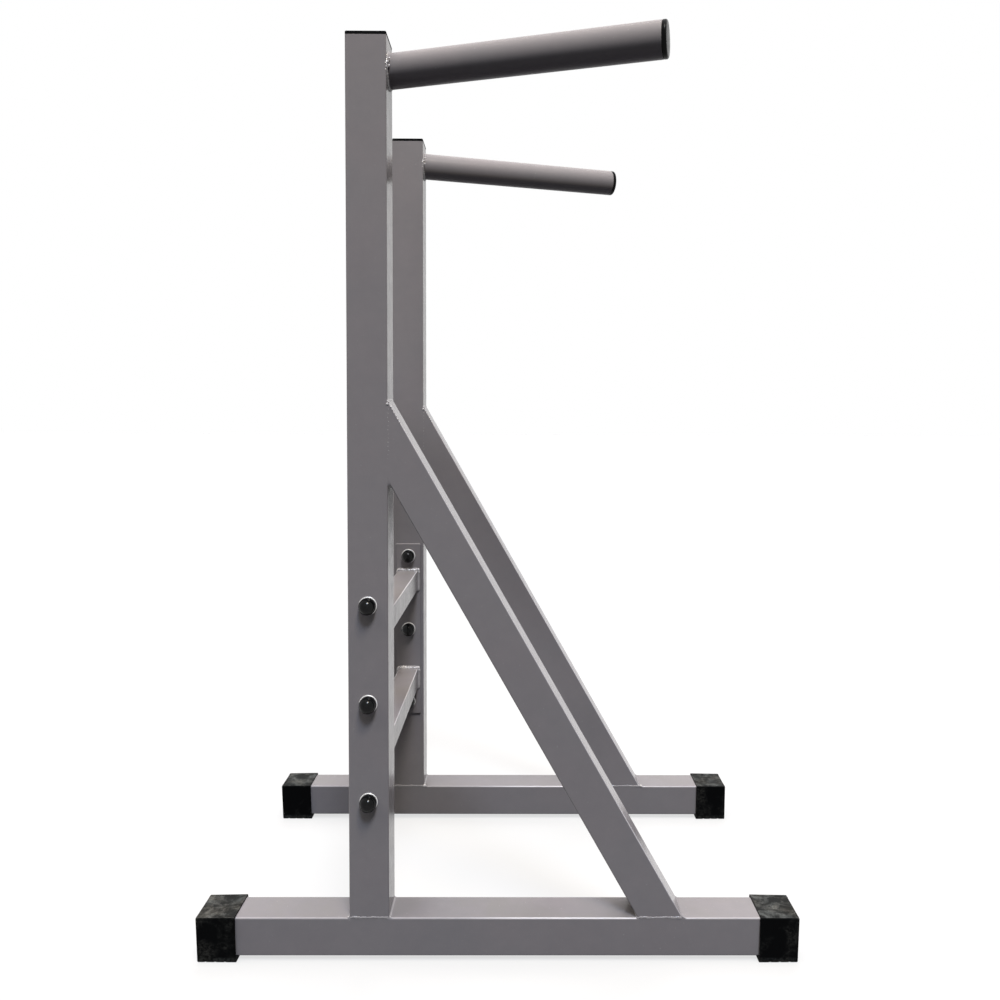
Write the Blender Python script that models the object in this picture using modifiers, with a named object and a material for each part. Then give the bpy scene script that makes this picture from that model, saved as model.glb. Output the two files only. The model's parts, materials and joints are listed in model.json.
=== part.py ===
"""Dip station: two welded side frames of square tube, joined by a bolted ladder of two crossbars.

Metres, +Z up. The arms point along +X and Y runs across the stand. The origin lies on the floor,
under the middle of the base. The right frame is the one at -Y, for someone who faces +X.
"""

import math

import bmesh
import bpy
from mathutils import Matrix

# Gap left between two pieces that touch on the real stand
SEAT_GAP = 0.0003

# Square tube of the uprights, base rails and braces
TUBE_SIDE = 0.060
TUBE_WALL = 0.002
TUBE_CORNER = 0.002

# Side frames
FRAME_SPACING = 0.478
RAIL_LENGTH = 0.915
UPRIGHT_SETBACK = 0.2595
UPRIGHT_LENGTH = 1.328
BRACE_REACH = 0.4515
BRACE_ANGLE = math.radians(29.6)

# Round arms
ARM_DIAMETER = 0.0505
ARM_WALL = 0.003
ARM_LENGTH = 0.4095
ARM_DROP = 0.0425
ARM_SPLAY = math.radians(16.2)

# Ladder between the frames
CROSSBAR_SIDE = 0.040
CROSSBAR_WALL = 0.002
CROSSBAR_CORNER = 0.0018
CROSSBAR_FROM_BOLT = 0.048
LADDER_RISE = 0.333
PLATE_WIDTH = 0.050
PLATE_THICKNESS = 0.004
PLATE_CORNER = 0.002
PLATE_END_MARGIN = 0.027

# Bolts, nuts and washers
BOLTS_PER_PLATE = 3
BOLT_PITCH = 0.150
BOLT_DIAMETER = 0.012
BOLT_TAIL = 0.003
HOLE_CLEARANCE = 0.0005
HEX_FLATS = 0.019
HEX_CHAMFER = 0.001
HEAD_HEIGHT = 0.0075
NUT_HEIGHT = 0.007
WASHER_DIAMETER = 0.028
WASHER_THICKNESS = 0.0025

# Plastic dome caps over the bolt heads and nuts
CAP_FIT = 0.0008
CAP_WALL = 0.0013

# Rubber boots on the ends of the base rails
BOOT_LENGTH = 0.060
BOOT_SIDE_WALL = 0.0042
BOOT_TOP_WALL = 0.0017
BOOT_END_WALL = 0.0051
BOOT_SOLE = 0.0077
BOOT_DRAFT = 0.0006
BOOT_CORNER = 0.002
BOOT_GROOVES = 3
BOOT_GROOVE_RADIUS = 0.0017

# Square plugs in the tops of the uprights
TOP_PLUG_HEIGHT = 0.0053
TOP_PLUG_EDGE = 0.0018
TOP_PLUG_DEPTH = 0.020

# Round plugs in the ends of the arms
ARM_PLUG_RIM = 0.0065
ARM_PLUG_EDGE = 0.003
ARM_PLUG_CROWN = 0.0012
ARM_PLUG_DEPTH = 0.020

# Fins and skirt that the square and the round plugs share
PLUG_FINS = 2
PLUG_FIN_DEPTH = 0.0012
PLUG_FIN_THICKNESS = 0.0015
PLUG_SKIRT_WALL = 0.002

# Weld beads: their radius on the side frames and on the ladder, how far they stand off the tube's
# face, the length of one ripple and the share of the radius by which a ripple swells
BEAD_RADIUS = 0.003
LADDER_BEAD_RADIUS = 0.004
BEAD_LIFT = 0.0004
BEAD_PITCH = 0.009
BEAD_RIPPLE = 0.13

# Flats that stand for round forms
CORNER_STEPS = 3
ARM_STEPS = 32
PLUG_STEPS = 20
CAP_STEPS = 14
CAP_ARC_STEPS = 4
WASHER_STEPS = 16
HOLE_STEPS = 12
GROOVE_STEPS = 8
ELLIPSE_STEPS = 96
SMOOTH_ANGLE = math.radians(32)

# Places worked out from the sizes above
RIGHT = -1
LEFT = 1
SIDE_NAMES = {RIGHT: "right", LEFT: "left"}
RAIL_MIDDLE = BOOT_SOLE + SEAT_GAP + TUBE_SIDE / 2
RAIL_TOP = RAIL_MIDDLE + TUBE_SIDE / 2
UPRIGHT_X = -RAIL_LENGTH / 2 + UPRIGHT_SETBACK
FRONT_FACE_X = UPRIGHT_X + TUBE_SIDE / 2
UPRIGHT_TOP = RAIL_TOP + UPRIGHT_LENGTH
ARM_HEIGHT = UPRIGHT_TOP - ARM_DROP
LADDER_HEIGHT = RAIL_TOP + LADDER_RISE
HEX_CORNER = HEX_FLATS / math.sqrt(3)
HOLE_RADIUS = BOLT_DIAMETER / 2 + HOLE_CLEARANCE
INNER_FACE_Y = (FRAME_SPACING - TUBE_SIDE) / 2
PLATE_Y = INNER_FACE_Y - SEAT_GAP - PLATE_THICKNESS / 2
CROSSBAR_HALF_LENGTH = PLATE_Y - PLATE_THICKNESS / 2 - SEAT_GAP
BOLT_SPAN = BOLT_PITCH * (BOLTS_PER_PLATE - 1)
WELD_BLOCK_DEPTH = 2 * TUBE_SIDE

# Turns of a bar that is drawn along Z, so that it runs along X, Y or Z instead
BAR_TURNS = {
    "X": Matrix(((0, 0, 1), (1, 0, 0), (0, 1, 0))).to_4x4(),
    "Y": Matrix(((1, 0, 0), (0, 0, -1), (0, 1, 0))).to_4x4(),
    "Z": Matrix.Identity(4),
}


def clear_scene():
    for obj in list(bpy.data.objects):
        bpy.data.objects.remove(obj)


def new_collection(name):
    collection = bpy.data.collections.new(name)
    bpy.context.scene.collection.children.link(collection)
    return collection


def principled(name, colour, roughness, metallic=0.0):
    material = bpy.data.materials.new(name)
    material.use_nodes = True
    shader = material.node_tree.nodes["Principled BSDF"]
    shader.inputs["Base Color"].default_value = (*colour, 1.0)
    shader.inputs["Roughness"].default_value = roughness
    shader.inputs["Metallic"].default_value = metallic
    return material


clear_scene()
PARTS = new_collection("dip_station")
CUTTERS = new_collection("cutters")
CUTTERS.hide_render = True

PAINT = principled("grey_powder_coat", (0.165, 0.155, 0.160), 0.35)
RUBBER = principled("black_rubber", (0.020, 0.020, 0.020), 0.75)
PLASTIC = principled("black_plastic", (0.012, 0.012, 0.013), 0.22)
ZINC = principled("zinc_plated_steel", (0.62, 0.62, 0.60), 0.32, 1.0)

STAND = bpy.data.objects.new("stand", None)
PARTS.objects.link(STAND)


# Outlines and paths


def arc(centre, radius, start, sweep, steps):
    angles = [start + sweep * step / steps for step in range(steps + 1)]
    return [(centre[0] + radius * math.cos(a), centre[1] + radius * math.sin(a)) for a in angles]


def circle(radius, steps, centre=(0.0, 0.0)):
    return arc(centre, radius, 0.0, 2 * math.pi, steps)[:-1]


def rounded_rectangle(width, height, corner):
    """Outline centred on the origin, with its round corners in CORNER_STEPS flats each."""
    points = []
    for quarter, (along, up) in enumerate(((1, 1), (-1, 1), (-1, -1), (1, -1))):
        centre = (along * (width / 2 - corner), up * (height / 2 - corner))
        points += arc(centre, corner, quarter * math.pi / 2, math.pi / 2, CORNER_STEPS)
    return points


def square(side, corner):
    return rounded_rectangle(side, side, corner)


def inner_corner(outer_corner, wall):
    """Inside corner radius of a drawn tube, which stays round even in a thick wall."""
    return max(outer_corner - wall, outer_corner / 4)


def even_steps(points, closed, count):
    """Points at count equal steps along a polyline, with the last one too if it is open."""
    corners = points + points[:1] if closed else points
    lengths = [math.dist(a, b) for a, b in zip(corners, corners[1:])]
    step = sum(lengths) / count
    placed = []
    leg = 0
    passed = 0.0
    for number in range(count if closed else count + 1):
        wanted = number * step
        while leg < len(lengths) - 1 and passed + lengths[leg] < wanted:
            passed += lengths[leg]
            leg += 1
        share = min((wanted - passed) / lengths[leg], 1.0)
        placed.append([a + (b - a) * share for a, b in zip(corners[leg], corners[leg + 1])])
    return placed


# Basic solids


def as_mesh(obj, collection):
    """Puts a closed mesh in place of an object with curves or modifiers, where that object was."""
    graph = bpy.context.evaluated_depsgraph_get()
    mesh = bpy.data.meshes.new_from_object(obj.evaluated_get(graph))
    bm = bmesh.new()
    bm.from_mesh(mesh)
    bmesh.ops.remove_doubles(bm, verts=bm.verts, dist=0.000001)
    bmesh.ops.recalc_face_normals(bm, faces=bm.faces)
    bm.to_mesh(mesh)
    bm.free()
    name = obj.name
    place = obj.matrix_world.copy()
    bpy.data.objects.remove(obj)
    solid = bpy.data.objects.new(name, mesh)
    solid.matrix_world = place
    collection.objects.link(solid)
    if collection == CUTTERS:
        solid.hide_render = True
        solid.display_type = "WIRE"
    return solid


def bar(name, outlines, length, axis, collection):
    """A bar along an axis, centred on its origin. The outlines after the first one are its holes."""
    curve = bpy.data.curves.new(name, "CURVE")
    curve.dimensions = "2D"
    curve.fill_mode = "BOTH"
    curve.extrude = length / 2
    for outline in outlines:
        spline = curve.splines.new("POLY")
        spline.points.add(len(outline) - 1)
        for point, (across, up) in zip(spline.points, outline):
            point.co = (across, up, 0.0, 1.0)
        spline.use_cyclic_u = True
    drawn = bpy.data.objects.new(name, curve)
    CUTTERS.objects.link(drawn)
    solid = as_mesh(drawn, collection)
    solid.data.transform(BAR_TURNS[axis])
    return solid


def cylinder(name, radius, length, axis, collection, steps=HOLE_STEPS):
    return bar(name, [circle(radius, steps)], length, axis, collection)


def turned(name, profile, steps, collection):
    """A solid turned about Z from (radius, height) points that run down its outer side."""
    mesh = bpy.data.meshes.new(name)
    edges = [(number, number + 1) for number in range(len(profile) - 1)]
    mesh.from_pydata([(radius, 0.0, height) for radius, height in profile], edges, [])
    obj = bpy.data.objects.new(name, mesh)
    CUTTERS.objects.link(obj)
    screw = obj.modifiers.new("turn", "SCREW")
    screw.angle = 2 * math.pi
    screw.steps = steps
    screw.render_steps = steps
    screw.use_merge_vertices = True
    screw.merge_threshold = 0.00005
    return as_mesh(obj, collection)


def split_into_triangles(obj):
    """Makes every face flat, so that a join or a cut of the shape stays exact."""
    bm = bmesh.new()
    bm.from_mesh(obj.data)
    bmesh.ops.triangulate(bm, faces=bm.faces)
    bm.to_mesh(obj.data)
    bm.free()


def hexagon(name, height, collection):
    """A chamfered hexagonal block that stands on the plane z = 0."""
    solid = bar(name, [circle(HEX_CORNER, 6)], height, "Z", collection)
    solid.data.transform(Matrix.Translation((0.0, 0.0, height / 2)))
    round_rim(solid, height, HEX_CHAMFER, 1)
    return solid


def round_rim(obj, height, radius, steps):
    """Rounds the edge round the flat face that lies at a height in the object's own Z."""
    bm = bmesh.new()
    bm.from_mesh(obj.data)
    rim = []
    for edge in bm.edges:
        level = all(abs(vert.co.z - height) < 0.00001 for vert in edge.verts)
        if level and edge.calc_face_angle(0.0) > math.radians(45):
            rim.append(edge)
    bmesh.ops.bevel(bm, geom=rim, offset=radius, segments=steps, profile=0.5, affect="EDGES")
    bm.to_mesh(obj.data)
    bm.free()


def weld_bead(name, path, closed, radius=BEAD_RADIUS):
    """A rippled bead along a path of (x, y, z) points, as a solid to be joined to a tube."""
    length = sum(math.dist(a, b) for a, b in zip(path, path[1:] + path[:1] * closed))
    count = 2 * max(round(length / BEAD_PITCH), 2)
    curve = bpy.data.curves.new(name, "CURVE")
    curve.dimensions = "3D"
    curve.bevel_depth = radius
    curve.bevel_resolution = 1
    curve.use_fill_caps = True
    placed = even_steps(path, closed, count)
    spline = curve.splines.new("POLY")
    spline.points.add(len(placed) - 1)
    for number, (point, place) in enumerate(zip(spline.points, placed)):
        point.co = (*place, 1.0)
        point.radius = 1 + BEAD_RIPPLE * (-1) ** number
    spline.use_cyclic_u = closed
    drawn = bpy.data.objects.new(name, curve)
    CUTTERS.objects.link(drawn)
    bead = as_mesh(drawn, CUTTERS)
    split_into_triangles(bead)
    return bead


# Joining and cutting


def combine(obj, other, operation):
    modifier = obj.modifiers.new(other.name, "BOOLEAN")
    modifier.operation = operation
    modifier.object = other
    modifier.solver = "EXACT"


def finished(obj, material):
    """Applies the joins and cuts of a part, gives it its material and shades its round faces."""
    part = as_mesh(obj, PARTS)
    part.data.materials.clear()
    part.data.materials.append(material)
    part.data.shade_smooth()
    part.data.set_sharp_from_angle(angle=SMOOTH_ANGLE)
    part.parent = STAND
    return part


def frame_y(side):
    return side * FRAME_SPACING / 2


def bolt_heights():
    return [LADDER_HEIGHT - BOLT_SPAN / 2 + BOLT_PITCH * number for number in range(BOLTS_PER_PLATE)]


def crossbar_heights():
    lowest = LADDER_HEIGHT - BOLT_SPAN / 2 + CROSSBAR_FROM_BOLT
    highest = LADDER_HEIGHT + BOLT_SPAN / 2 - CROSSBAR_FROM_BOLT
    return {"lower": lowest, "upper": highest}


def rail_block(side):
    """The space that a base rail fills, grown by the seat gap, to cut what is welded on top of it."""
    width = TUBE_SIDE + 2 * SEAT_GAP
    outline = rounded_rectangle(width, WELD_BLOCK_DEPTH, TUBE_CORNER + SEAT_GAP)
    block = bar(f"rail_block_{SIDE_NAMES[side]}", [outline], RAIL_LENGTH, "X", CUTTERS)
    block.location = (0.0, frame_y(side), RAIL_TOP + SEAT_GAP - WELD_BLOCK_DEPTH / 2)
    return block


def upright_block(side):
    """The space that an upright fills, grown by the seat gap, to cut what is welded to its front."""
    width = TUBE_SIDE + 2 * SEAT_GAP
    outline = rounded_rectangle(WELD_BLOCK_DEPTH, width, TUBE_CORNER + SEAT_GAP)
    length = UPRIGHT_LENGTH + WELD_BLOCK_DEPTH
    block = bar(f"upright_block_{SIDE_NAMES[side]}", [outline], length, "Z", CUTTERS)
    x = FRONT_FACE_X + SEAT_GAP - WELD_BLOCK_DEPTH / 2
    block.location = (x, frame_y(side), RAIL_TOP + UPRIGHT_LENGTH / 2)
    return block


def cross_bead(name, x, z, side):
    """A straight bead across the flat of a tube, at a place in the frame's own plane."""
    reach = TUBE_SIDE / 2 - TUBE_CORNER
    y = frame_y(side)
    return weld_bead(name, [(x, y - reach, z), (x, y + reach, z)], False)


# Side frames


def base_rail(side):
    inside = square(TUBE_SIDE - 2 * TUBE_WALL, inner_corner(TUBE_CORNER, TUBE_WALL))
    outlines = [square(TUBE_SIDE, TUBE_CORNER), inside]
    rail = bar(f"base_rail_{SIDE_NAMES[side]}", outlines, RAIL_LENGTH, "X", CUTTERS)
    rail.location = (0.0, frame_y(side), RAIL_MIDDLE)
    return finished(rail, PAINT)


def tube_bore(name, length):
    outline = square(TUBE_SIDE - 2 * TUBE_WALL, inner_corner(TUBE_CORNER, TUBE_WALL))
    return bar(name, [outline], length, "Z", CUTTERS)


def upright(side, rail_space):
    """The upright, saddled over the rail's round corners, with its foot beads and bolt holes."""
    name = f"upright_{SIDE_NAMES[side]}"
    foot = RAIL_TOP - TUBE_CORNER
    length = UPRIGHT_TOP - foot
    post = bar(name, [square(TUBE_SIDE, TUBE_CORNER)], length, "Z", CUTTERS)
    post.location = (UPRIGHT_X, frame_y(side), foot + length / 2)
    for end, away in (("front", 1), ("rear", -1)):
        x = UPRIGHT_X + away * (TUBE_SIDE / 2 + BEAD_LIFT)
        combine(post, cross_bead(f"{name}_{end}_bead", x, RAIL_TOP, side), "UNION")
    bore = tube_bore(f"{name}_bore", length + 2 * TUBE_SIDE)
    bore.location = post.location
    combine(post, bore, "DIFFERENCE")
    combine(post, rail_space, "DIFFERENCE")
    for number, height in enumerate(bolt_heights()):
        hole = cylinder(f"{name}_hole_{number}", HOLE_RADIUS, 2 * TUBE_SIDE, "Y", CUTTERS)
        hole.location = (UPRIGHT_X, frame_y(side), height)
        combine(post, hole, "DIFFERENCE")
    return finished(post, PAINT)


def brace(side, rail_space, upright_space):
    """The diagonal, mitred to the rail at its foot and to the upright's front at its top."""
    name = f"brace_{SIDE_NAMES[side]}"
    lean = math.sin(BRACE_ANGLE)
    rise = math.cos(BRACE_ANGLE)
    toe_x = FRONT_FACE_X + BRACE_REACH
    outer_length = BRACE_REACH / lean
    length = outer_length + 4 * TUBE_CORNER
    middle_x = toe_x - (lean * outer_length + rise * TUBE_SIDE) / 2
    middle_z = RAIL_TOP + (rise * outer_length - lean * TUBE_SIDE) / 2
    strut = bar(name, [square(TUBE_SIDE, TUBE_CORNER)], length, "Z", CUTTERS)
    bore = tube_bore(f"{name}_bore", length + 2 * TUBE_SIDE)
    for piece in (strut, bore):
        piece.location = (middle_x, frame_y(side), middle_z)
        piece.rotation_euler = (0.0, -BRACE_ANGLE, 0.0)
    top_z = RAIL_TOP + BRACE_REACH / math.tan(BRACE_ANGLE)
    beads = {
        "toe": (toe_x + BEAD_LIFT, RAIL_TOP),
        "heel": (toe_x - TUBE_SIDE / rise - BEAD_LIFT, RAIL_TOP),
        "top": (FRONT_FACE_X, top_z + BEAD_LIFT),
        "throat": (FRONT_FACE_X, top_z - TUBE_SIDE / lean - BEAD_LIFT),
    }
    for end, (x, z) in beads.items():
        combine(strut, cross_bead(f"{name}_{end}_bead", x, z, side), "UNION")
    combine(strut, bore, "DIFFERENCE")
    combine(strut, rail_space, "DIFFERENCE")
    combine(strut, upright_space, "DIFFERENCE")
    return finished(strut, PAINT)


def along_arm(side, distance):
    """A place on an arm's axis, so far from the upright's front face."""
    x = FRONT_FACE_X + distance * math.cos(ARM_SPLAY)
    y = frame_y(side) + side * distance * math.sin(ARM_SPLAY)
    return (x, y, ARM_HEIGHT)


def arm(side, upright_space):
    """The round arm, cut to the upright's face on the splay and welded there all round."""
    name = f"arm_{SIDE_NAMES[side]}"
    overrun = ARM_DIAMETER / 2 * math.tan(ARM_SPLAY) + 2 * BEAD_RADIUS
    length = ARM_LENGTH + overrun
    grip = cylinder(name, ARM_DIAMETER / 2, length, "X", CUTTERS, ARM_STEPS)
    bore_radius = ARM_DIAMETER / 2 - ARM_WALL
    bore = cylinder(f"{name}_bore", bore_radius, length + ARM_DIAMETER, "X", CUTTERS, ARM_STEPS)
    for piece in (grip, bore):
        piece.location = along_arm(side, (ARM_LENGTH - overrun) / 2)
        piece.rotation_euler = (0.0, 0.0, side * ARM_SPLAY)
    ring = []
    for across, up in circle(ARM_DIAMETER / 2 + BEAD_LIFT, ELLIPSE_STEPS):
        y = frame_y(side) + across / math.cos(ARM_SPLAY)
        ring.append((FRONT_FACE_X, y, ARM_HEIGHT + up))
    combine(grip, weld_bead(f"{name}_root_bead", ring, True), "UNION")
    combine(grip, bore, "DIFFERENCE")
    combine(grip, upright_space, "DIFFERENCE")
    return finished(grip, PAINT)


# Plugs and boots


def fin_levels(depth):
    """Heights below the seat at which a plug's fins stand, evenly down its skirt."""
    return [-depth * (number + 1) / (PLUG_FINS + 1) for number in range(PLUG_FINS)]


def top_plug(side):
    """The square plug: a thin cap over the tube's end and a finned hollow skirt inside it."""
    name = f"upright_plug_{SIDE_NAMES[side]}"
    tube_inside = TUBE_SIDE - 2 * TUBE_WALL
    corner = inner_corner(TUBE_CORNER, TUBE_WALL)
    fin_side = tube_inside - 2 * SEAT_GAP
    skirt_side = fin_side - 2 * PLUG_FIN_DEPTH
    hollow_side = skirt_side - 2 * PLUG_SKIRT_WALL
    cap = bar(name, [square(TUBE_SIDE, TUBE_CORNER)], TOP_PLUG_HEIGHT, "Z", CUTTERS)
    round_rim(cap, TOP_PLUG_HEIGHT / 2, TOP_PLUG_EDGE, 3)
    seat = UPRIGHT_TOP + SEAT_GAP
    cap.location = (UPRIGHT_X, frame_y(side), seat + TOP_PLUG_HEIGHT / 2)
    skirt_length = TOP_PLUG_DEPTH + TOP_PLUG_HEIGHT / 2
    skirt = bar(f"{name}_skirt", [square(skirt_side, corner)], skirt_length, "Z", CUTTERS)
    skirt.location = (UPRIGHT_X, frame_y(side), seat + TOP_PLUG_HEIGHT / 2 - skirt_length / 2)
    combine(cap, skirt, "UNION")
    for number, level in enumerate(fin_levels(TOP_PLUG_DEPTH)):
        fin = bar(f"{name}_fin_{number}", [square(fin_side, corner)], PLUG_FIN_THICKNESS, "Z", CUTTERS)
        fin.location = (UPRIGHT_X, frame_y(side), seat + level)
        combine(cap, fin, "UNION")
    hollow = bar(f"{name}_hollow", [square(hollow_side, corner)], 2 * TOP_PLUG_DEPTH, "Z", CUTTERS)
    hollow.location = (UPRIGHT_X, frame_y(side), seat - TOP_PLUG_DEPTH)
    combine(cap, hollow, "DIFFERENCE")
    return finished(cap, PLASTIC)


def arm_plug(side):
    """The round plug: a crowned button as wide as the arm, and a finned hollow skirt in its bore."""
    button = ARM_DIAMETER / 2
    fin_radius = button - ARM_WALL - SEAT_GAP
    skirt_radius = fin_radius - PLUG_FIN_DEPTH
    hollow_radius = skirt_radius - PLUG_SKIRT_WALL
    shoulder = ARM_PLUG_RIM - ARM_PLUG_EDGE
    profile = [(0.0, ARM_PLUG_RIM + ARM_PLUG_CROWN)]
    edge = arc((button - ARM_PLUG_EDGE, shoulder), ARM_PLUG_EDGE, math.pi / 2, -math.pi / 2, 3)
    profile += edge + [(button, 0.0), (skirt_radius, 0.0)]
    for level in fin_levels(ARM_PLUG_DEPTH):
        profile.append((skirt_radius, level + PLUG_FIN_THICKNESS))
        profile.append((fin_radius, level))
        profile.append((skirt_radius, level - PLUG_FIN_THICKNESS))
    profile += [(skirt_radius, -ARM_PLUG_DEPTH), (hollow_radius, -ARM_PLUG_DEPTH)]
    profile += [(hollow_radius, 0.0), (0.0, 0.0)]
    plug = turned(f"arm_plug_{SIDE_NAMES[side]}", profile, PLUG_STEPS, CUTTERS)
    plug.location = along_arm(side, ARM_LENGTH + SEAT_GAP)
    plug.rotation_euler = (0.0, math.pi / 2, side * ARM_SPLAY)
    return finished(plug, PLASTIC)


def boot(side, end):
    """A rubber boot, closed at the rail's end and open to the middle, on a thick grooved sole.

    end is -1 for the rear and 1 for the front. The outside narrows a little towards the closed end,
    as it has to for the moulding to leave its tool, but the sole stays flat.
    """
    end_name = "rear" if end < 0 else "front"
    name = f"boot_{end_name}_{SIDE_NAMES[side]}"
    width = TUBE_SIDE + 2 * (SEAT_GAP + BOOT_SIDE_WALL)
    height = BOOT_SOLE + SEAT_GAP + TUBE_SIDE + SEAT_GAP + BOOT_TOP_WALL
    outline = rounded_rectangle(width, height, BOOT_CORNER)
    shell = bar(name, [outline], BOOT_LENGTH, "Z", CUTTERS)
    for vert in shell.data.vertices:
        if vert.co.z > 0.0:
            vert.co.x *= 1 - 2 * BOOT_DRAFT / width
            vert.co.y -= BOOT_DRAFT * (vert.co.y / height + 0.5)
    round_rim(shell, BOOT_LENGTH / 2, BOOT_CORNER / 2, 2)
    split_into_triangles(shell)
    shell.data.transform(BAR_TURNS["X"])
    middle_x = RAIL_LENGTH / 2 + SEAT_GAP + BOOT_END_WALL - BOOT_LENGTH / 2
    shell.location = (end * middle_x, frame_y(side), height / 2)
    shell.rotation_euler = (0.0, 0.0, 0.0 if end > 0 else math.pi)
    pocket_outline = square(TUBE_SIDE + 2 * SEAT_GAP, TUBE_CORNER + SEAT_GAP)
    pocket = bar(f"{name}_pocket", [pocket_outline], RAIL_LENGTH + 2 * SEAT_GAP, "X", CUTTERS)
    pocket.location = (0.0, frame_y(side), RAIL_MIDDLE)
    combine(shell, pocket, "DIFFERENCE")
    groove_pitch = BOOT_LENGTH / (BOOT_GROOVES + 1)
    for number in range(BOOT_GROOVES):
        groove_name = f"{name}_groove_{number}"
        groove = cylinder(groove_name, BOOT_GROOVE_RADIUS, 2 * width, "Y", CUTTERS, GROOVE_STEPS)
        offset = (number - (BOOT_GROOVES - 1) / 2) * groove_pitch
        groove.location = (end * middle_x + offset, frame_y(side), 0.0)
        combine(shell, groove, "DIFFERENCE")
    return finished(shell, RUBBER)


# Ladder


def crossbar(level, height):
    """A crossbar between the two plates, welded to each of them all round."""
    name = f"{level}_crossbar"
    block_length = 4 * LADDER_BEAD_RADIUS
    length = 2 * CROSSBAR_HALF_LENGTH + block_length
    tube = bar(name, [square(CROSSBAR_SIDE, CROSSBAR_CORNER)], length, "Y", CUTTERS)
    tube.location = (UPRIGHT_X, 0.0, height)
    ends = []
    for side in (RIGHT, LEFT):
        ring = []
        for across, up in square(CROSSBAR_SIDE + 2 * BEAD_LIFT, LADDER_BEAD_RADIUS):
            ring.append((UPRIGHT_X + across, side * CROSSBAR_HALF_LENGTH, height + up))
        bead_name = f"{name}_{SIDE_NAMES[side]}_bead"
        combine(tube, weld_bead(bead_name, ring, True, LADDER_BEAD_RADIUS), "UNION")
        block_outline = square(CROSSBAR_SIDE + 2 * block_length, LADDER_BEAD_RADIUS)
        block = bar(f"{name}_{SIDE_NAMES[side]}_end", [block_outline], block_length, "Y", CUTTERS)
        block.location = (UPRIGHT_X, side * (CROSSBAR_HALF_LENGTH + block_length / 2), height)
        ends.append(block)
    inside = square(CROSSBAR_SIDE - 2 * CROSSBAR_WALL, inner_corner(CROSSBAR_CORNER, CROSSBAR_WALL))
    bore = bar(f"{name}_bore", [inside], length + block_length, "Y", CUTTERS)
    bore.location = tube.location
    for cutter in (bore, *ends):
        combine(tube, cutter, "DIFFERENCE")
    return finished(tube, PAINT)


def flange_plate(side):
    """The plate at the ladder's end, with a round hole for each bolt."""
    outlines = [rounded_rectangle(PLATE_WIDTH, BOLT_SPAN + 2 * PLATE_END_MARGIN, PLATE_CORNER)]
    for height in bolt_heights():
        outlines.append(circle(HOLE_RADIUS, HOLE_STEPS, (0.0, height - LADDER_HEIGHT)))
    plate = bar(f"flange_plate_{SIDE_NAMES[side]}", outlines, PLATE_THICKNESS, "Y", CUTTERS)
    plate.location = (UPRIGHT_X, side * PLATE_Y, LADDER_HEIGHT)
    return finished(plate, PAINT)


# Fasteners, each drawn about Z with its seat at z = 0 and the side that faces away from it up


def hex_bolt(name, grip):
    """Bolt with its head above the seat, and a shank that passes grip and the nut below it."""
    head = hexagon(name, HEAD_HEIGHT, CUTTERS)
    shank_length = grip + NUT_HEIGHT + BOLT_TAIL
    overlap = HEAD_HEIGHT / 2
    shank = cylinder(f"{name}_shank", BOLT_DIAMETER / 2, shank_length + overlap, "Z", CUTTERS)
    shank.location = (0.0, 0.0, overlap - (shank_length + overlap) / 2)
    combine(head, shank, "UNION")
    return finished(head, ZINC)


def hex_nut(name):
    nut = hexagon(name, NUT_HEIGHT, CUTTERS)
    bore = cylinder(f"{name}_bore", BOLT_DIAMETER / 2 + SEAT_GAP, 4 * NUT_HEIGHT, "Z", CUTTERS)
    combine(nut, bore, "DIFFERENCE")
    return finished(nut, ZINC)


def washer(name):
    outlines = [circle(WASHER_DIAMETER / 2, WASHER_STEPS), circle(HOLE_RADIUS, WASHER_STEPS)]
    ring = bar(name, outlines, WASHER_THICKNESS, "Z", CUTTERS)
    ring.data.transform(Matrix.Translation((0.0, 0.0, WASHER_THICKNESS / 2)))
    return finished(ring, ZINC)


def dome_cap(name):
    """A hollow dome on a short skirt, deep enough for its flats to clear the nut and the bolt."""
    hollow = HEX_CORNER + CAP_FIT
    outside = hollow + CAP_WALL
    quarter = math.pi / 2
    across_flats = hollow * math.cos(math.pi / CAP_STEPS) * math.cos(quarter / CAP_ARC_STEPS / 2)
    hex_room = math.sqrt(across_flats**2 - (HEX_CORNER + SEAT_GAP / 2) ** 2)
    tail_room = math.sqrt(across_flats**2 - (BOLT_DIAMETER / 2 + SEAT_GAP) ** 2)
    over_hex = SEAT_GAP + max(HEAD_HEIGHT, NUT_HEIGHT) - HEX_CHAMFER - hex_room
    over_tail = SEAT_GAP + NUT_HEIGHT + BOLT_TAIL - tail_room
    skirt = max(over_hex, over_tail)
    profile = arc((0.0, skirt), outside, quarter, -quarter, CAP_ARC_STEPS)
    profile += [(outside, 0.0), (hollow, 0.0)]
    profile += arc((0.0, skirt), hollow, 0.0, quarter, CAP_ARC_STEPS)
    cap = turned(name, profile, CAP_STEPS, CUTTERS)
    return finished(cap, PLASTIC)


def place_on_bolt(part, side, height, y, outward):
    """Seats a fastener on a bolt's axis, facing out of the stand or into the middle of it."""
    part.location = (UPRIGHT_X, side * y, height)
    part.rotation_euler = (-side * outward * math.pi / 2, 0.0, 0.0)


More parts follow.
